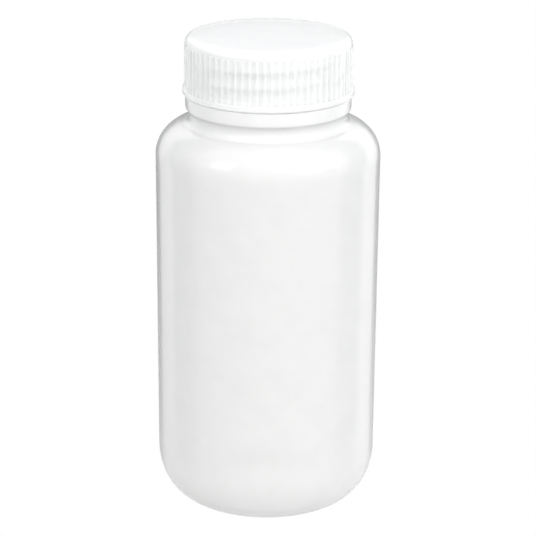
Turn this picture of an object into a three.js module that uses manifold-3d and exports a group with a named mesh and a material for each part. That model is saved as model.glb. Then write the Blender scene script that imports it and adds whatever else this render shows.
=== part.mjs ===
// Wide-mouth reagent bottle with its ribbed screw cap and sealing liner.
// Millimetres, +Z up, origin on the axis where the bottle stands.

import * as THREE from 'three';
import { mergeVertices } from 'three/addons/utils/BufferGeometryUtils.js';
import Module from 'manifold-3d';

// Body of the bottle, from the foot to the start of the shoulder.
const bodyRadius = 45.5;
const bodyHeight = 146.4;
const wallThickness = 1.6;
const baseThickness = 2;
const baseCornerWidth = 13.4;
const baseCornerHeight = 20.5;
const footRingWidth = 5;
const pushUpHeight = 2.5;

// Shoulder, neck and the collar under the cap.
const shoulderRadius = 13.8;
const neckFillet = 2.5;
const neckLength = 2.9;
const neckStep = 2.6;
const collarDepth = 1.5;
const collarHeight = 6;
const collarTopRounding = 0.6;
const boreTaperHeight = 5;

// Threaded finish above the collar.
const boreRadius = 27;
const finishWall = 2.3;
const finishHeight = 20.3;
const rimRounding = 0.7;

// Right-hand thread, one start, shared by the bottle and its cap.
const threadPitch = 6.35;
const threadDepth = 2;
const threadRootWidth = 3.2;
const threadCrestWidth = 1.4;
const threadStartRise = 3.5;
const threadEndDrop = 2.5;
const threadEndAngle = THREE.MathUtils.degToRad(345);
const threadFade = 1 / 16;
const threadSink = 0.6;

// Screw cap.
const threadClearance = 0.3;
const crestClearance = 0.4;
const flankClearance = 0.35;
const capThreadRise = 3.4;
const capThreadRootWidth = 2.6;
const capThreadCrestWidth = 1.2;
const skirtThickness = 1.8;
const capTopThickness = 1.6;
const capTopRounding = 3;
const plainBandHeight = 3.8;
const ribCount = 72;
const ribWidth = 1.7;
const ribCrestWidth = 0.7;
const ribDepth = 0.2;
const ribDraft = 0.3;
const ribSink = 0.6;
const lipHeight = 2.3;
const lipFlare = 1.1;
const lipRounding = 0.5;
const capToCollarGap = 0.7;

// Foam sealing disc inside the cap.
const linerThickness = 1.5;
const linerSideClearance = 1;
const restingGap = 0.3;

// Steps round a full turn, and how far a rounding's straight steps may stray from its curve.
const turnSteps = 48;
const roundingTolerance = 0.1;

// Sizes that follow from the ones above.
const footOuter = bodyRadius - baseCornerWidth;
const footInner = footOuter - footRingWidth;
const domeRadius = (footInner ** 2 + pushUpHeight ** 2) / (2 * pushUpHeight);
const domeAngle = Math.asin(footInner / domeRadius);
const finishRadius = boreRadius + finishWall;
const neckRadius = finishRadius + neckStep;
const collarRadius = neckRadius + collarDepth;
const shoulderCentre = bodyRadius - shoulderRadius;
const filletCentre = neckRadius + neckFillet;
const filletReach = Math.max(0, filletCentre - shoulderCentre);
const filletHeight = bodyHeight + Math.sqrt((shoulderRadius + neckFillet) ** 2 - filletReach ** 2);
const filletAngle = Math.atan2(filletHeight - bodyHeight, filletReach);
const collarBottom = filletHeight + neckLength;
const collarTop = collarBottom + collarHeight;
const rimHeight = collarTop + finishHeight;
const threadTop = rimHeight - threadEndDrop;
const threadTurns = (threadTop - collarTop - threadStartRise) / threadPitch;
const skirtInnerRadius = finishRadius + threadDepth + threadClearance;
const skirtRadius = skirtInnerRadius + skirtThickness;
const lipBottom = collarTop + capToCollarGap;
const lipTop = lipBottom + lipHeight;
const linerBottom = rimHeight + restingGap;
const capUnderside = linerBottom + linerThickness + restingGap;
const capTop = capUnderside + capTopThickness;
const capThreadDepth = skirtInnerRadius - finishRadius - crestClearance;
const capThreadDrop = (threadRootWidth + capThreadCrestWidth) / 2 + flankClearance;
const capThreadTop = threadTop - capThreadDrop;
const capThreadTurns = (capThreadTop - lipBottom - capThreadRise) / threadPitch;

const wasm = await Module();
wasm.setup();

// Points of an elliptical arc from one angle to another, in radians.
function arc(centreRadius, centreHeight, width, height, from, to) {
  const widestStep = 2 * Math.acos(1 - roundingTolerance / Math.max(width, height));
  const steps = Math.max(2, Math.round(Math.abs(to - from) / widestStep));
  const clockwise = to < from;
  const curve = new THREE.EllipseCurve(centreRadius, centreHeight, width, height, from, to, clockwise);
  return curve.getPoints(steps);
}

// A solid of revolution about Z from an outline of (radius, height) points, counter-clockwise.
function revolve(outline) {
  const geometry = new THREE.LatheGeometry(outline, turnSteps);
  geometry.rotateX(Math.PI / 2);
  return geometry;
}

// A closed geometry as a manifold solid, with shared vertices and no flat triangles.
function toSolid(geometry) {
  const bare = new THREE.BufferGeometry();
  bare.setAttribute('position', geometry.getAttribute('position'));
  bare.setIndex(geometry.getIndex());
  const merged = mergeVertices(bare);
  const index = merged.getIndex().array;
  const corners = [];
  for (let i = 0; i < index.length; i += 3) {
    const [a, b, c] = [index[i], index[i + 1], index[i + 2]];
    if (a !== b && b !== c && c !== a) {
      corners.push(a, b, c);
    }
  }
  const vertProperties = new Float32Array(merged.getAttribute('position').array);
  const triVerts = new Uint32Array(corners);
  return new wasm.Manifold(new wasm.Mesh({ numProp: 3, vertProperties, triVerts }));
}

// A manifold solid back as a geometry.
function toGeometry(solid) {
  const mesh = solid.getMesh();
  const geometry = new THREE.BufferGeometry();
  geometry.setAttribute('position', new THREE.BufferAttribute(new Float32Array(mesh.vertProperties), 3));
  geometry.setIndex(new THREE.BufferAttribute(new Uint32Array(mesh.triVerts), 1));
  geometry.computeVertexNormals();
  return geometry;
}

// A screw thread wrapped on a cylinder: its flank section is extruded straight, then wound round Z.
// side is 1 for a thread that stands out from the wall and -1 for one that stands in from it.
function wrapThread({ side, wallRadius, depth, rootWidth, crestWidth, turns, endAngle, endHeight }) {
  const section = new THREE.Shape([
    new THREE.Vector2(-threadSink, -rootWidth / 2),
    new THREE.Vector2(0, -rootWidth / 2),
    new THREE.Vector2(depth, -crestWidth / 2),
    new THREE.Vector2(depth, crestWidth / 2),
    new THREE.Vector2(0, rootWidth / 2),
    new THREE.Vector2(-threadSink, rootWidth / 2),
  ]);
  const steps = Math.round(turns * turnSteps);
  const geometry = new THREE.ExtrudeGeometry(section, { depth: turns, steps, bevelEnabled: false });
  const position = geometry.getAttribute('position');
  for (let i = 0; i < position.count; i++) {
    const along = position.getZ(i);
    const fromEnd = Math.min(along, turns - along);
    const swell = THREE.MathUtils.smoothstep(fromEnd, -threadFade / 4, threadFade);
    const out = Math.max(position.getX(i), 0) * swell + Math.min(position.getX(i), 0);
    const turn = side > 0 ? along : turns - along;
    const angle = endAngle - turn * 2 * Math.PI;
    const radius = wallRadius + side * out;
    const height = endHeight - turn * threadPitch + position.getY(i);
    position.setXYZ(i, radius * Math.cos(angle), radius * Math.sin(angle), height);
  }
  return geometry;
}

// Outside of the bottle, from the middle of the base out and up to the rim.
function bottleOutside() {
  const collarEdge = collarRadius - collarTopRounding;
  const collarEdgeHeight = collarTop - collarTopRounding;
  const up = Math.PI / 2;
  return [
    ...arc(0, pushUpHeight - domeRadius, domeRadius, domeRadius, up, up - domeAngle),
    ...arc(footOuter, baseCornerHeight, baseCornerWidth, baseCornerHeight, -up, 0),
    ...arc(shoulderCentre, bodyHeight, shoulderRadius, shoulderRadius, 0, filletAngle),
    ...arc(filletCentre, filletHeight, neckFillet, neckFillet, filletAngle - Math.PI, -Math.PI),
    ...arc(neckRadius, collarBottom + collarDepth, collarDepth, collarDepth, -up, 0),
    ...arc(collarEdge, collarEdgeHeight, collarTopRounding, collarTopRounding, 0, up),
    new THREE.Vector2(finishRadius, collarTop),
    ...arc(finishRadius - rimRounding, rimHeight - rimRounding, rimRounding, rimRounding, 0, up),
  ];
}

// Inside of the bottle, from the rim down the bore and along the walls to the middle of the base.
function bottleInside() {
  const cornerWidth = baseCornerWidth - wallThickness;
  const cornerHeight = baseCornerHeight - baseThickness;
  const domeCentre = baseThickness + pushUpHeight - domeRadius;
  const innerFillet = neckFillet + wallThickness;
  const innerShoulder = shoulderRadius - wallThickness;
  const up = Math.PI / 2;
  return [
    ...arc(boreRadius + rimRounding, rimHeight - rimRounding, rimRounding, rimRounding, up, Math.PI),
    new THREE.Vector2(boreRadius, collarTop),
    new THREE.Vector2(neckRadius - wallThickness, collarTop - boreTaperHeight),
    ...arc(filletCentre, filletHeight, innerFillet, innerFillet, -Math.PI, filletAngle - Math.PI),
    ...arc(shoulderCentre, bodyHeight, innerShoulder, innerShoulder, filletAngle, 0),
    ...arc(footOuter, baseCornerHeight, cornerWidth, cornerHeight, 0, -up),
    ...arc(0, domeCentre, domeRadius, domeRadius, up - domeAngle, up),
  ];
}

// The bottle: one blow-moulded shell, open at the mouth, with its thread on the finish.
function bottleGeometry() {
  const shell = toSolid(revolve([...bottleOutside(), ...bottleInside()]));
  const thread = toSolid(wrapThread({
    side: 1,
    wallRadius: finishRadius,
    depth: threadDepth,
    rootWidth: threadRootWidth,
    crestWidth: threadCrestWidth,
    turns: threadTurns,
    endAngle: threadEndAngle,
    endHeight: threadTop,
  }));
  return toGeometry(shell.add(thread));
}

// The cap's turned shape: its top, its skirt and the flared lip at the skirt's edge.
function capOutline() {
  const lipRadius = skirtRadius + lipFlare;
  const lipCentre = lipRadius - lipRounding;
  const topCentre = capTop - capTopRounding;
  const up = Math.PI / 2;
  return [
    new THREE.Vector2(0, capUnderside),
    new THREE.Vector2(skirtInnerRadius, capUnderside),
    new THREE.Vector2(skirtInnerRadius, lipBottom),
    ...arc(lipCentre, lipBottom + lipRounding, lipRounding, lipRounding, -up, 0),
    ...arc(lipCentre, lipTop - lipRounding, lipRounding, lipRounding, 0, up),
    new THREE.Vector2(skirtRadius, lipTop),
    ...arc(skirtRadius - capTopRounding, topCentre, capTopRounding, capTopRounding, 0, up),
    new THREE.Vector2(0, capTop),
  ];
}

// The band of fine upright grip ribs, a ring that starts inside the skirt's wall.
function ribBand() {
  const bandBottom = lipTop - lipRounding;
  const bandHeight = capTop - plainBandHeight - bandBottom;
  const rootRadius = skirtRadius - ribSink;
  const crestRadius = skirtRadius + ribDepth;
  const corners = [];
  for (let rib = 0; rib < ribCount; rib++) {
    const middle = (rib + 0.5) * 2 * Math.PI / ribCount;
    for (const [radius, offset] of [
      [rootRadius, -ribWidth / 2],
      [crestRadius, -ribCrestWidth / 2],
      [crestRadius, ribCrestWidth / 2],
      [rootRadius, ribWidth / 2],
    ]) {
      const angle = middle + offset / skirtRadius;
      corners.push(new THREE.Vector2(radius * Math.cos(angle), radius * Math.sin(angle)));
    }
  }
  const outline = new THREE.Shape(corners);
  outline.holes.push(new THREE.Path().absarc(0, 0, skirtRadius - 2 * ribSink, 0, 2 * Math.PI, true));
  const geometry = new THREE.ExtrudeGeometry(outline, {
    depth: bandHeight,
    steps: 1,
    bevelEnabled: false,
    curveSegments: turnSteps / 2,
  });
  const position = geometry.getAttribute('position');
  for (let i = 0; i < position.count; i++) {
    const radius = Math.hypot(position.getX(i), position.getY(i));
    if (radius > skirtRadius) {
      const scale = 1 + ribDraft * (1 - position.getZ(i) / bandHeight) / radius;
      position.setXY(i, position.getX(i) * scale, position.getY(i) * scale);
    }
  }
  geometry.translate(0, 0, bandBottom);
  return geometry;
}

// The cap: one moulding with its top, skirt, lip, ribs and inside thread.
function capGeometry() {
  const turned = toSolid(revolve(capOutline()));
  const ribs = toSolid(ribBand());
  const thread = toSolid(wrapThread({
    side: -1,
    wallRadius: skirtInnerRadius,
    depth: capThreadDepth,
    rootWidth: capThreadRootWidth,
    crestWidth: capThreadCrestWidth,
    turns: capThreadTurns,
    endAngle: threadEndAngle,
    endHeight: capThreadTop,
  }));
  return toGeometry(turned.add(ribs).add(thread));
}

// The sealing disc that the cap presses on the rim.
function linerGeometry() {
  const radius = skirtInnerRadius - linerSideClearance;
  return revolve([
    new THREE.Vector2(0, linerBottom),
    new THREE.Vector2(radius, linerBottom),
    new THREE.Vector2(radius, linerBottom + linerThickness),
    new THREE.Vector2(0, linerBottom + linerThickness),
  ]);
}

// A named mesh with its own material.
function piece(name, geometry, look) {
  const mesh = new THREE.Mesh(geometry, new THREE.MeshStandardMaterial(look));
  mesh.name = name;
  return mesh;
}

const milkyPlastic = { color: 0xf1f3f4, roughness: 0.42, metalness: 0 };
const clearerPlastic = { color: 0xf6f8f9, roughness: 0.34, metalness: 0 };
const whiteFoam = { color: 0xfafafa, roughness: 0.85, metalness: 0 };

const reagentBottle = new THREE.Group();
reagentBottle.add(piece('bottle', bottleGeometry(), milkyPlastic));
reagentBottle.add(piece('cap', capGeometry(), clearerPlastic));
reagentBottle.add(piece('cap_liner', linerGeometry(), whiteFoam));

export default reagentBottle;
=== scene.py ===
import math

import bpy
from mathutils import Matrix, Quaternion, Vector


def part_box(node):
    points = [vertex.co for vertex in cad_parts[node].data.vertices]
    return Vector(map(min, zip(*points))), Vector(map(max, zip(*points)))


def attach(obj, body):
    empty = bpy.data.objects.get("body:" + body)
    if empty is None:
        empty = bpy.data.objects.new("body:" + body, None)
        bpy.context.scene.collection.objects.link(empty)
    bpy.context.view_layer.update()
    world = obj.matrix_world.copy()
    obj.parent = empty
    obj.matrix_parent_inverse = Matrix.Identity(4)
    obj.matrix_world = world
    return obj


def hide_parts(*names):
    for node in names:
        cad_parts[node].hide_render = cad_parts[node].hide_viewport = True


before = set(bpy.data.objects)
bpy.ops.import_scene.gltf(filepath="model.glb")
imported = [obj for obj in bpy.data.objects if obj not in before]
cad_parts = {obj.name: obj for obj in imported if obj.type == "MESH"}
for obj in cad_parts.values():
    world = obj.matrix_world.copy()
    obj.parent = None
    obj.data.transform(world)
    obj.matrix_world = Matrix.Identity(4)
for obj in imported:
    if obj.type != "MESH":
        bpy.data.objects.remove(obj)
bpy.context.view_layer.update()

# The viewpoint: a long lens a little above the bottle's shoulder, looking slightly down at the middle
# of the bottle, with the hair of roll that makes the bottle lean.
view_distance = 0.8103
view_elevation = math.radians(19.48)
view_roll = math.radians(0.4)
view_lens = 131.7
view_shift = (0.0015, 0.0095)
aim = Vector((0, 0, 0.095))

camera_data = bpy.data.cameras.new("studio_camera")
camera_data.lens = view_lens
camera_data.sensor_width = 36
camera_data.shift_x, camera_data.shift_y = view_shift
camera = bpy.data.objects.new("studio_camera", camera_data)
bpy.context.scene.collection.objects.link(camera)
toward_viewer = Vector((0, -math.cos(view_elevation), math.sin(view_elevation)))
camera.location = aim + toward_viewer * view_distance
camera.rotation_mode = "QUATERNION"
camera.rotation_quaternion = toward_viewer.to_track_quat("Z", "Y") @ Quaternion((0, 0, 1), view_roll)
bpy.context.scene.camera = camera

# The studio: a white sweep and a white room, burnt out to pure white where they are looked at. The light
# that reaches the plastic comes from a room with grey side walls and a narrow dark card round the back, so
# that clear edges draw themselves dark with a bright line inside; right and ceiling are the brighter sides.
bpy.context.scene.view_settings.view_transform = "Standard"
bpy.context.scene.view_settings.look = "None"

world = bpy.data.worlds.new("white_room")
bpy.context.scene.world = world
world.use_nodes = True
room = world.node_tree
room.nodes.clear()
direction = room.nodes.new("ShaderNodeTexCoord").outputs["Generated"]


def room_share(axis, low, high):
    """How bright the room is from one end of an axis to the other."""
    along = room.nodes.new("ShaderNodeVectorMath")
    along.operation = "DOT_PRODUCT"
    along.inputs[1].default_value = axis
    room.links.new(direction, along.inputs[0])
    share = room.nodes.new("ShaderNodeMapRange")
    share.inputs["From Min"].default_value = -1
    share.inputs["To Min"].default_value = low
    share.inputs["To Max"].default_value = high
    room.links.new(along.outputs["Value"], share.inputs["Value"])
    return share.outputs["Result"]


front_wall = (0.78, 0.78, 0.78, 1)
side_wall = (0.24, 0.25, 0.27, 1)
corner_wall = (1, 1, 1, 1)
back_wall = (0.9, 0.9, 0.9, 1)
dark_card = (0.05, 0.05, 0.05, 1)
straight_behind = (0.8, 0.8, 0.8, 1)
walls = room.nodes.new("ShaderNodeValToRGB")
walls.color_ramp.interpolation = "EASE"
walls.color_ramp.elements[0].color = front_wall
walls.color_ramp.elements[1].color = straight_behind
for place, shade in (
    (0.42, front_wall), (0.5, side_wall), (0.7, side_wall), (0.76, corner_wall),
    (0.89, back_wall), (0.93, dark_card), (0.98, dark_card), (0.99, straight_behind),
):
    walls.color_ramp.elements.new(place).color = shade
room.links.new(room_share(-toward_viewer, 0, 1), walls.inputs["Fac"])
floor_starts, floor_full = 0.64, 0.8
floor_edge = room.nodes.new("ShaderNodeValToRGB")
floor_edge.color_ramp.interpolation = "EASE"
floor_edge.color_ramp.elements[0].position = floor_starts
floor_edge.color_ramp.elements[1].position = floor_full
room.links.new(room_share((0, 0, -1), 0, 1), floor_edge.inputs["Fac"])
paper_below = room.nodes.new("ShaderNodeMix")
paper_below.data_type = "RGBA"
paper_below.inputs["B"].default_value = (1, 1, 1, 1)
room.links.new(floor_edge.outputs["Color"], paper_below.inputs["Factor"])
room.links.new(walls.outputs["Color"], paper_below.inputs["A"])
left_light, right_light = 0.59, 0.8
floor_light, ceiling_light = 1.1, 3.3
tilt = room.nodes.new("ShaderNodeMath")
tilt.operation = "MULTIPLY"
room.links.new(room_share((1, 0, 0), left_light, right_light), tilt.inputs[0])
room.links.new(room_share((0, 0, 1), floor_light, ceiling_light), tilt.inputs[1])
lit = room.nodes.new("ShaderNodeBackground")
room.links.new(paper_below.outputs["Result"], lit.inputs["Color"])
room.links.new(tilt.outputs[0], lit.inputs["Strength"])
seen = room.nodes.new("ShaderNodeBackground")
seen.inputs["Color"].default_value = (1, 1, 1, 1)
who_looks = room.nodes.new("ShaderNodeLightPath")
either = room.nodes.new("ShaderNodeMixShader")
room_output = room.nodes.new("ShaderNodeOutputWorld")
room.links.new(who_looks.outputs["Is Camera Ray"], either.inputs["Fac"])
room.links.new(lit.outputs[0], either.inputs[1])
room.links.new(seen.outputs[0], either.inputs[2])
room.links.new(either.outputs[0], room_output.inputs["Surface"])

floor_size = 6
floor_mesh = bpy.data.meshes.new("white_sweep")
half = floor_size / 2
floor_mesh.from_pydata([(-half, -half, 0), (half, -half, 0), (half, half, 0), (-half, half, 0)], [], [(0, 1, 2, 3)])
floor = bpy.data.objects.new("white_sweep", floor_mesh)
bpy.context.scene.collection.objects.link(floor)
floor_paper = bpy.data.materials.new("white_paper")
floor_paper.use_nodes = True
paper = floor_paper.node_tree
paper.nodes.clear()
glow = paper.nodes.new("ShaderNodeEmission")
glow.inputs["Strength"].default_value = 1
hole = paper.nodes.new("ShaderNodeBsdfTransparent")
who_sees = paper.nodes.new("ShaderNodeLightPath")
paper_mix = paper.nodes.new("ShaderNodeMixShader")
paper_output = paper.nodes.new("ShaderNodeOutputMaterial")
paper.links.new(who_sees.outputs["Is Camera Ray"], paper_mix.inputs["Fac"])
paper.links.new(hole.outputs[0], paper_mix.inputs[1])
paper.links.new(glow.outputs[0], paper_mix.inputs[2])
paper.links.new(paper_mix.outputs[0], paper_output.inputs["Surface"])
floor_mesh.materials.append(floor_paper)


def softbox(name, place, width, height, power):
    """A soft area light that faces the bottle's middle."""
    data = bpy.data.lights.new(name, "AREA")
    data.shape = "RECTANGLE"
    data.size = width
    data.size_y = height
    data.energy = power
    light = bpy.data.objects.new(name, data)
    light.location = place
    light.rotation_mode = "QUATERNION"
    light.rotation_quaternion = (Vector(place) - aim).to_track_quat("Z", "Y")
    bpy.context.scene.collection.objects.link(light)


softbox("right_softbox", (0.62, -0.5, 0.65), 0.5, 0.4, 2.2)
softbox("left_softbox", (-0.62, -0.5, 0.65), 0.3, 0.4, 1.3)

# The bottle: one blow-moulded shell of natural polyethylene, rounded at the base and the shoulder, with
# a collar and a screw thread moulded in the neck. Turned from one outline by Geometry Nodes.
MM = 0.001
bottle_high = Vector(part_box("bottle")[1])
body_radius = bottle_high.x
rim_height = bottle_high.z
wall = 1.6 * MM
base_wall = 2 * MM
corner_width = 13.4 * MM
corner_height = 20.5 * MM
foot_outer = body_radius - corner_width
foot_inner = foot_outer - 5 * MM
push_up = 2.5 * MM
shoulder_rounding = 13.8 * MM
shoulder_start = 146.4 * MM
shoulder_centre = body_radius - shoulder_rounding
bore_radius = 27 * MM
finish_wall = 2.3 * MM
finish_radius = bore_radius + finish_wall
finish_height = 20.3 * MM
rim_rounding = 0.7 * MM
neck_radius = finish_radius + 2.6 * MM
neck_fillet = 2.5 * MM
collar_depth = 1.5 * MM
collar_height = 6 * MM
collar_top = rim_height - finish_height
collar_bottom = collar_top - collar_height
collar_rounding = 0.6 * MM
collar_radius = neck_radius + collar_depth
bore_taper = 5 * MM
fillet_centre = neck_radius + neck_fillet
fillet_reach = fillet_centre - shoulder_centre
fillet_rise = math.sqrt((shoulder_rounding + neck_fillet) ** 2 - fillet_reach ** 2)
fillet_height = shoulder_start + fillet_rise
fillet_angle = math.atan2(fillet_rise, fillet_reach)
thread_row = 0.2 * MM
long_row = 6 * MM
short_row = 3 * MM
foot_of_thread = 0.3 * MM
thin_wall = 0.7
QUARTER = math.pi / 2


def arc(centre, height, across, up, start, stop, step=math.radians(4.5)):
    """Points (radius, height) along an elliptical arc between two angles."""
    count = max(3, math.ceil(abs(stop - start) / step))
    turns = [start + (stop - start) * i / count for i in range(count + 1)]
    return [(centre + across * math.cos(t), height + up * math.sin(t)) for t in turns]


def straight(start, stop, step):
    """Points (radius, height) between two points, their ends left out."""
    length = math.dist(start, stop)
    count = max(2, round(length / step))
    return [
        (start[0] + (stop[0] - start[0]) * i / count, start[1] + (stop[1] - start[1]) * i / count)
        for i in range(1, count)
    ]


def dome(height, radius, rise):
    """Points from the axis down a shallow dome to its edge."""
    curve = (radius ** 2 + rise ** 2) / (2 * rise)
    reach = math.asin(radius / curve)
    return arc(0, height + rise - curve, curve, curve, QUARTER, QUARTER - reach, reach / 8)


thread_foot = (finish_radius, collar_top + foot_of_thread)
thread_head = (finish_radius, rim_height - rim_rounding)
outside_body = [
    *dome(0, foot_inner, push_up),
    *arc(foot_outer, corner_height, corner_width, corner_height, -QUARTER, 0),
    *straight((body_radius, corner_height), (body_radius, shoulder_start), long_row),
    *arc(shoulder_centre, shoulder_start, shoulder_rounding, shoulder_rounding, 0, fillet_angle),
]
outside_neck = [
    *arc(fillet_centre, fillet_height, neck_fillet, neck_fillet, fillet_angle - math.pi, -math.pi, 0.15),
    *arc(neck_radius, collar_bottom + collar_depth, collar_depth, collar_depth, -QUARTER, 0, 0.2),
    *arc(collar_radius - collar_rounding, collar_top - collar_rounding, collar_rounding, collar_rounding,
         0, QUARTER, 0.3),
    *arc(finish_radius + foot_of_thread, collar_top + foot_of_thread, foot_of_thread, foot_of_thread,
         -QUARTER, -math.pi, 0.5),
]
threaded = straight(thread_foot, thread_head, thread_row)
outside_above = arc(finish_radius - rim_rounding, rim_height - rim_rounding, rim_rounding, rim_rounding,
                    0, QUARTER, 0.25)
inside = [
    *arc(bore_radius + rim_rounding, rim_height - rim_rounding, rim_rounding, rim_rounding,
         QUARTER, math.pi, 0.25),
    *straight((bore_radius, rim_height - rim_rounding), (bore_radius, collar_top), short_row),
    (bore_radius, collar_top),
    (neck_radius - wall, collar_top - bore_taper),
    *arc(fillet_centre, fillet_height, neck_fillet + wall, neck_fillet + wall,
         -math.pi, fillet_angle - math.pi, 0.15),
    *arc(shoulder_centre, shoulder_start, shoulder_rounding - wall, shoulder_rounding - wall, fillet_angle, 0),
    *straight((body_radius - wall, shoulder_start), (body_radius - wall, corner_height), long_row),
    *arc(foot_outer, corner_height, corner_width - wall, corner_height - base_wall, 0, -QUARTER),
    *reversed(dome(base_wall, foot_inner, push_up)),
]


def outline_object(name, runs):
    """An object of loose outline points. runs lists (points, outside share, thread share, rib share)."""
    points, outsides, threads, ribs = [], [], [], []
    for run, outside_share, thread_share, rib_share in runs:
        points.extend((radius, 0, height) for radius, height in run)
        outsides.extend([outside_share] * len(run))
        threads.extend([thread_share] * len(run))
        ribs.extend([rib_share] * len(run))
    mesh = bpy.data.meshes.new(name)
    mesh.from_pydata(points, [], [])
    for label, values in (("outside_share", outsides), ("thread_share", threads), ("rib_share", ribs)):
        attribute = mesh.attributes.new(label, "FLOAT", "POINT")
        attribute.data.foreach_set("value", values)
    piece = bpy.data.objects.new(name, mesh)
    bpy.context.scene.collection.objects.link(piece)
    return piece


def feed(tree, socket, value):
    """Links a node's output to an input, or sets the input to a plain value."""
    if isinstance(value, bpy.types.NodeSocket):
        tree.links.new(value, socket)
    else:
        socket.default_value = value


def calc(tree, operation, *values):
    """A Math node on the given values."""
    node = tree.nodes.new("ShaderNodeMath")
    node.operation = operation
    for socket, value in zip(node.inputs, values):
        feed(tree, socket, value)
    return node.outputs[0]


def ease(tree, value, start, stop, low=0.0, high=1.0):
    """A smooth step from low at start to high at stop."""
    node = tree.nodes.new("ShaderNodeMapRange")
    node.interpolation_type = "SMOOTHSTEP"
    for label, number in (("Value", value), ("From Min", start), ("From Max", stop),
                          ("To Min", low), ("To Max", high)):
        feed(tree, node.inputs[label], number)
    return node.outputs["Result"]


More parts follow.
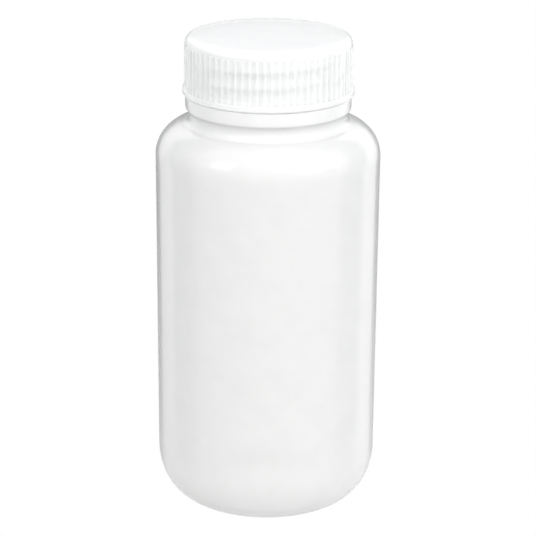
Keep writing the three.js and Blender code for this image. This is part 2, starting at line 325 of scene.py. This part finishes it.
def turning_tree():
    """Geometry Nodes that turn outline points about Z, with a screw thread and upright ribs."""
    tree = bpy.data.node_groups.new("turned_moulding", "GeometryNodeTree")
    face = tree.interface
    face.new_socket("Outline", in_out="INPUT", socket_type="NodeSocketGeometry")
    face.new_socket("Turn steps", in_out="INPUT", socket_type="NodeSocketInt")
    for label in ("Thread pitch", "Thread depth", "Thread root", "Thread crest", "Thread turns", "Thread fade",
                  "Thread end angle", "Thread end height", "Rib count", "Rib root", "Rib crest"):
        face.new_socket(label, in_out="INPUT", socket_type="NodeSocketFloat")
    face.new_socket("Plastic", in_out="INPUT", socket_type="NodeSocketMaterial")
    face.new_socket("Moulding", in_out="OUTPUT", socket_type="NodeSocketGeometry")
    given = tree.nodes.new("NodeGroupInput").outputs

    size = tree.nodes.new("GeometryNodeAttributeDomainSize")
    tree.links.new(given["Outline"], size.inputs[0])
    count = size.outputs["Point Count"]
    grid = tree.nodes.new("GeometryNodeMeshGrid")
    grid.inputs["Size X"].default_value = 1
    grid.inputs["Size Y"].default_value = 1
    feed(tree, grid.inputs["Vertices X"], calc(tree, "ADD", given["Turn steps"], 1))
    feed(tree, grid.inputs["Vertices Y"], count)

    place = tree.nodes.new("GeometryNodeInputPosition")
    across = tree.nodes.new("ShaderNodeSeparateXYZ")
    tree.links.new(place.outputs[0], across.inputs[0])
    turn = calc(tree, "ADD", across.outputs["X"], 0.5)
    along = calc(tree, "ADD", across.outputs["Y"], 0.5)
    row = calc(tree, "ROUND", calc(tree, "MULTIPLY", along, calc(tree, "SUBTRACT", count, 1)))

    def sampled(kind, value):
        node = tree.nodes.new("GeometryNodeSampleIndex")
        node.data_type = kind
        tree.links.new(given["Outline"], node.inputs["Geometry"])
        tree.links.new(value, node.inputs["Value"])
        tree.links.new(row, node.inputs["Index"])
        return node.outputs[0]

    def attribute(label):
        node = tree.nodes.new("GeometryNodeInputNamedAttribute")
        node.data_type = "FLOAT"
        node.inputs["Name"].default_value = label
        return sampled("FLOAT", node.outputs["Attribute"])

    outline_place = tree.nodes.new("GeometryNodeInputPosition")
    outline = tree.nodes.new("ShaderNodeSeparateXYZ")
    tree.links.new(sampled("FLOAT_VECTOR", outline_place.outputs[0]), outline.inputs[0])
    radius, height = outline.outputs["X"], outline.outputs["Z"]

    end_turn = calc(tree, "DIVIDE", given["Thread end angle"], 2 * math.pi)
    behind = calc(tree, "FRACT", calc(tree, "SUBTRACT", end_turn, turn))
    below_end = calc(tree, "SUBTRACT", given["Thread end height"], height)
    drop = calc(tree, "DIVIDE", below_end, given["Thread pitch"])
    wound = calc(tree, "ADD", behind, calc(tree, "ROUND", calc(tree, "SUBTRACT", drop, behind)))
    turns_away = calc(tree, "ABSOLUTE", calc(tree, "SUBTRACT", drop, wound))
    away = calc(tree, "MULTIPLY", turns_away, given["Thread pitch"])
    flank = ease(tree, away, calc(tree, "MULTIPLY", given["Thread crest"], 0.5),
                 calc(tree, "MULTIPLY", given["Thread root"], 0.5), 1.0, 0.0)
    fade_in = ease(tree, wound, 0.0, given["Thread fade"])
    left = calc(tree, "SUBTRACT", given["Thread turns"], wound)
    fade_out = ease(tree, left, 0.0, given["Thread fade"])
    thread = calc(tree, "MULTIPLY", calc(tree, "MULTIPLY", flank, fade_in), fade_out)
    thread = calc(tree, "MULTIPLY", calc(tree, "MULTIPLY", thread, given["Thread depth"]), attribute("thread_share"))

    in_rib = calc(tree, "SUBTRACT", calc(tree, "FRACT", calc(tree, "MULTIPLY", turn, given["Rib count"])), 0.5)
    rib = ease(tree, calc(tree, "ABSOLUTE", in_rib), calc(tree, "MULTIPLY", given["Rib crest"], 0.5),
               calc(tree, "MULTIPLY", given["Rib root"], 0.5), 1.0, 0.0)
    ribbed = attribute("rib_share")
    valley = calc(tree, "MULTIPLY", calc(tree, "SUBTRACT", 1.0, rib), calc(tree, "GREATER_THAN", ribbed, 0.0))
    rib = calc(tree, "MULTIPLY", rib, ribbed)

    reach = calc(tree, "ADD", calc(tree, "ADD", radius, thread), rib)
    angle = calc(tree, "MULTIPLY", turn, 2 * math.pi)
    spot = tree.nodes.new("ShaderNodeCombineXYZ")
    tree.links.new(calc(tree, "MULTIPLY", reach, calc(tree, "COSINE", angle)), spot.inputs["X"])
    tree.links.new(calc(tree, "MULTIPLY", reach, calc(tree, "SINE", angle)), spot.inputs["Y"])
    tree.links.new(height, spot.inputs["Z"])

    moved = tree.nodes.new("GeometryNodeSetPosition")
    surface = grid.outputs["Mesh"]
    for label, value in (("outside_share", attribute("outside_share")), ("valley_share", valley)):
        marked = tree.nodes.new("GeometryNodeStoreNamedAttribute")
        marked.data_type = "FLOAT"
        marked.domain = "POINT"
        marked.inputs["Name"].default_value = label
        tree.links.new(value, marked.inputs["Value"])
        tree.links.new(surface, marked.inputs["Geometry"])
        surface = marked.outputs[0]
    joined = tree.nodes.new("GeometryNodeMergeByDistance")
    joined.inputs["Distance"].default_value = 1e-6
    smooth = tree.nodes.new("GeometryNodeSetShadeSmooth")
    real = tree.nodes.new("GeometryNodeRealizeInstances")
    finish = tree.nodes.new("GeometryNodeSetMaterial")
    output = tree.nodes.new("NodeGroupOutput")
    tree.links.new(surface, moved.inputs["Geometry"])
    tree.links.new(spot.outputs[0], moved.inputs["Position"])
    tree.links.new(moved.outputs[0], joined.inputs["Geometry"])
    tree.links.new(joined.outputs[0], smooth.inputs[0])
    tree.links.new(smooth.outputs[0], real.inputs[0])
    tree.links.new(real.outputs[0], finish.inputs["Geometry"])
    tree.links.new(given["Plastic"], finish.inputs["Material"])
    tree.links.new(finish.outputs[0], output.inputs[0])
    return tree


turned_moulding = turning_tree()


def turned(piece, values):
    """Runs the tree on a piece of outline points with the given inputs, and leaves a plain mesh."""
    modifier = piece.modifiers.new("turned", "NODES")
    modifier.node_group = turned_moulding
    for item in turned_moulding.interface.items_tree:
        if item.in_out == "INPUT" and item.name in values:
            modifier[item.identifier] = values[item.name]
    seen = bpy.context.evaluated_depsgraph_get()
    mesh = bpy.data.meshes.new_from_object(piece.evaluated_get(seen))
    piece.modifiers.remove(modifier)
    mesh.name = piece.name
    piece.data = mesh
    return piece


thread = {
    "Thread pitch": 6.35 * MM,
    "Thread depth": 2.0 * MM,
    "Thread root": 3.4 * MM,
    "Thread crest": 1.1 * MM,
    "Thread turns": 2.25,
    "Thread fade": 0.09,
    "Thread end angle": math.radians(345),
    "Thread end height": rim_height - 2.5 * MM,
}


def milky_plastic(name, tint, clear_tint, haze, inside_haze, valley_haze, back_share, straight_share,
                  clear_roughness, skin_roughness, grain_scale):
    """Natural plastic: a clear share that bends light, mixed with a milky share that scatters it.

    haze is the milky share outside and inside_haze inside; between the ribs it is times valley_haze.
    back_share of the milk lets light through, and straight_share of the clear part doesn't bend it.
    """
    material = bpy.data.materials.new(name)
    material.use_nodes = True
    nodes, links = material.node_tree.nodes, material.node_tree.links

    def ranged(value, low, high, start=0.0, stop=1.0):
        node = nodes.new("ShaderNodeMapRange")
        for label, number in (("From Min", start), ("From Max", stop), ("To Min", low), ("To Max", high)):
            node.inputs[label].default_value = number
        links.new(value, node.inputs["Value"])
        return node.outputs["Result"]

    def times(a, b):
        node = nodes.new("ShaderNodeMath")
        node.operation = "MULTIPLY"
        links.new(a, node.inputs[0])
        links.new(b, node.inputs[1])
        return node.outputs[0]

    def stored(label):
        node = nodes.new("ShaderNodeAttribute")
        node.attribute_name = label
        return node.outputs["Fac"]

    def noise(scale, detail):
        node = nodes.new("ShaderNodeTexNoise")
        node.inputs["Scale"].default_value = scale
        node.inputs["Detail"].default_value = detail
        links.new(where.outputs["Object"], node.inputs["Vector"])
        return node.outputs["Fac"]

    def mixed(share, first, second):
        node = nodes.new("ShaderNodeMixShader")
        feed(material.node_tree, node.inputs["Fac"], share)
        links.new(first.outputs[0], node.inputs[1])
        links.new(second.outputs[0], node.inputs[2])
        return node

    where = nodes.new("ShaderNodeTexCoord")
    grain = noise(grain_scale, 2)
    milk = times(ranged(stored("outside_share"), inside_haze, haze), ranged(stored("valley_share"), 1, valley_haze))
    milk = times(milk, ranged(noise(90, 3), 0.98, 1.02, 0.3, 0.7))
    dimples = nodes.new("ShaderNodeBump")
    dimples.inputs["Strength"].default_value = 0.25
    dimples.inputs["Distance"].default_value = 0.05 * MM
    links.new(grain, dimples.inputs["Height"])

    clear = nodes["Principled BSDF"]
    clear.inputs["Base Color"].default_value = (*clear_tint, 1)
    clear.inputs["Transmission Weight"].default_value = 1
    clear.inputs["Roughness"].default_value = clear_roughness
    clear.inputs["IOR"].default_value = 1.5
    unbent = nodes.new("ShaderNodeBsdfTransparent")
    unbent.inputs["Color"].default_value = (*clear_tint, 1)
    skin = nodes.new("ShaderNodeBsdfPrincipled")
    skin.inputs["Base Color"].default_value = (*tint, 1)
    skin.inputs["IOR"].default_value = 1.5
    links.new(ranged(grain, 0.8 * skin_roughness, 1.3 * skin_roughness, 0.3, 0.7), skin.inputs["Roughness"])
    through = nodes.new("ShaderNodeBsdfTranslucent")
    through.inputs["Color"].default_value = (*tint, 1)
    for shader in (clear, skin, through):
        links.new(dimples.outputs["Normal"], shader.inputs["Normal"])
    plastic = mixed(milk, mixed(straight_share, clear, unbent), mixed(back_share, skin, through))
    links.new(plastic.outputs[0], nodes["Material Output"].inputs["Surface"])
    return material


bottle_plastic = milky_plastic(
    "milky_polyethylene", tint=(0.92, 0.924, 0.918), clear_tint=(0.935, 0.937, 0.932),
    haze=0.93, inside_haze=0.0, valley_haze=1.0, back_share=0.3, straight_share=0.0,
    clear_roughness=0.08, skin_roughness=0.12, grain_scale=420,
)
bottle = turned(
    outline_object("bottle_shell", [
        (outside_body, thin_wall, 0, 0), (outside_neck, 1, 0, 0), (threaded, 1, 1, 0), (outside_above, 1, 0, 0),
        (inside, 0, 0, 0),
    ]),
    {"Turn steps": 288, "Plastic": bottle_plastic, **thread},
)
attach(bottle, "bottle")
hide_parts("bottle")

# The screw cap: one injection moulding of natural polypropylene, clearer than the bottle, with a plain
# band under its rounded top edge, fine upright grip ribs, a flared lip and an inside thread.
cap_low, cap_high = (Vector(corner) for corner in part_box("cap"))
thread_room = 2.3 * MM
skirt_wall = 1.8 * MM
skirt_inner = finish_radius + thread_room
skirt_radius = skirt_inner + skirt_wall
cap_rounding = 3 * MM
lip_rounding = 0.5 * MM
lip_bottom = cap_low.z
lip_height = 2.3 * MM
lip_top = lip_bottom + lip_height
lip_centre = cap_high.x - lip_rounding
cap_top = cap_high.z
cap_plate = 1.6 * MM
cap_underside = cap_top - cap_plate
plain_band = 3.8 * MM
ribs_top = cap_top - plain_band
rib_depth = 0.3 * MM
rib_count = 72
rib_draft = 0.1 * MM
skirt_row = 0.35 * MM
under_cap = straight((0, cap_underside), (skirt_inner, cap_underside), short_row)
skirt_inside = straight((skirt_inner, cap_underside), (skirt_inner, lip_bottom), skirt_row)
lip = [
    (skirt_inner, lip_bottom),
    *arc(lip_centre, lip_bottom + lip_rounding, lip_rounding, lip_rounding, -QUARTER, 0, 0.3),
    *arc(lip_centre, lip_top - lip_rounding, lip_rounding, lip_rounding, 0, QUARTER, 0.3),
]
band = straight((skirt_radius, ribs_top + 0.6 * MM), (skirt_radius, cap_top - cap_rounding), 1 * MM)
crown = arc(skirt_radius - cap_rounding, cap_top - cap_rounding, cap_rounding, cap_rounding, 0, QUARTER)
top_disc = straight((skirt_radius - cap_rounding, cap_top), (0, cap_top), short_row)

cap_plastic = milky_plastic(
    "clear_polypropylene", tint=(1.0, 1.0, 0.995), clear_tint=(0.99, 0.995, 1.0),
    haze=0.42, inside_haze=0.3, valley_haze=0.76, back_share=0.1, straight_share=0.8,
    clear_roughness=0.03, skin_roughness=0.12, grain_scale=700,
)
cap = turned(
    outline_object("screw_cap", [
        ([(0, cap_underside), *under_cap, (skirt_inner, cap_underside)], 0, 0, 0),
        (skirt_inside, 0, -1, 0),
        (lip, 1, 0, 0),
        ([(skirt_radius, lip_top)], 1, 0, rib_depth),
        (straight((skirt_radius, lip_top), (skirt_radius - rib_draft, ribs_top), 2 * MM), 1, 0, rib_depth),
        ([(skirt_radius, ribs_top)], 1, 0, rib_depth / 2),
        ([(skirt_radius, ribs_top + 0.4 * MM), *band], 1, 0, 0),
        (crown, 1, 0, 0),
        ([*top_disc, (0, cap_top)], 1, 0, 0),
    ]),
    {
        "Turn steps": 720, "Plastic": cap_plastic, **thread,
        "Thread depth": 1.9 * MM, "Thread root": 2.6 * MM, "Thread crest": 1.0 * MM, "Thread turns": 1.75,
        "Thread end height": rim_height - (2.5 + 2.55) * MM,
        "Rib count": rib_count, "Rib root": 0.62, "Rib crest": 0.2,
    },
)
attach(cap, "cap")
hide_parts("cap")

# The liner: a disc of white polyethylene foam, punched from sheet and pressed into the cap's top, that
# seals on the bottle's rim.
liner_low, liner_high = (Vector(corner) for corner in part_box("cap_liner"))
liner_radius = liner_high.x
liner_rounding = 0.25 * MM
liner_edge = liner_radius - liner_rounding
liner_foam = bpy.data.materials.new("white_foam")
liner_foam.use_nodes = True
foam_shader = liner_foam.node_tree.nodes["Principled BSDF"]
foam_shader.inputs["Specular IOR Level"].default_value = 0.2
foam_nodes, foam_links = liner_foam.node_tree.nodes, liner_foam.node_tree.links
foam_place = foam_nodes.new("ShaderNodeTexCoord")
cells = foam_nodes.new("ShaderNodeTexVoronoi")
cells.inputs["Scale"].default_value = 2200
foam_links.new(foam_place.outputs["Object"], cells.inputs["Vector"])
foam_gloss = foam_nodes.new("ShaderNodeMapRange")
foam_gloss.inputs["To Min"].default_value = 0.7
foam_gloss.inputs["To Max"].default_value = 0.95
foam_links.new(cells.outputs["Distance"], foam_gloss.inputs["Value"])
foam_links.new(foam_gloss.outputs["Result"], foam_shader.inputs["Roughness"])
foam_tone = foam_nodes.new("ShaderNodeValToRGB")
foam_tone.color_ramp.elements[0].color = (0.89, 0.89, 0.88, 1)
foam_tone.color_ramp.elements[1].color = (0.84, 0.84, 0.83, 1)
foam_links.new(cells.outputs["Distance"], foam_tone.inputs["Fac"])
foam_links.new(foam_tone.outputs["Color"], foam_shader.inputs["Base Color"])
foam_bump = foam_nodes.new("ShaderNodeBump")
foam_bump.inputs["Strength"].default_value = 0.5
foam_bump.inputs["Distance"].default_value = 0.15 * MM
foam_links.new(cells.outputs["Distance"], foam_bump.inputs["Height"])
foam_links.new(foam_bump.outputs["Normal"], foam_shader.inputs["Normal"])
liner = turned(
    outline_object("sealing_liner", [([
        (0, liner_low.z),
        *straight((0, liner_low.z), (liner_edge, liner_low.z), short_row),
        *arc(liner_edge, liner_low.z + liner_rounding, liner_rounding, liner_rounding, -QUARTER, 0, 0.4),
        *arc(liner_edge, liner_high.z - liner_rounding, liner_rounding, liner_rounding, 0, QUARTER, 0.4),
        *straight((liner_edge, liner_high.z), (0, liner_high.z), short_row),
        (0, liner_high.z),
    ], 1, 0, 0)]),
    {"Turn steps": 144, "Plastic": liner_foam, "Thread pitch": 1.0, "Rib count": 1.0, "Rib root": 1.0},
)
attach(liner, "liner")
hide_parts("cap_liner")
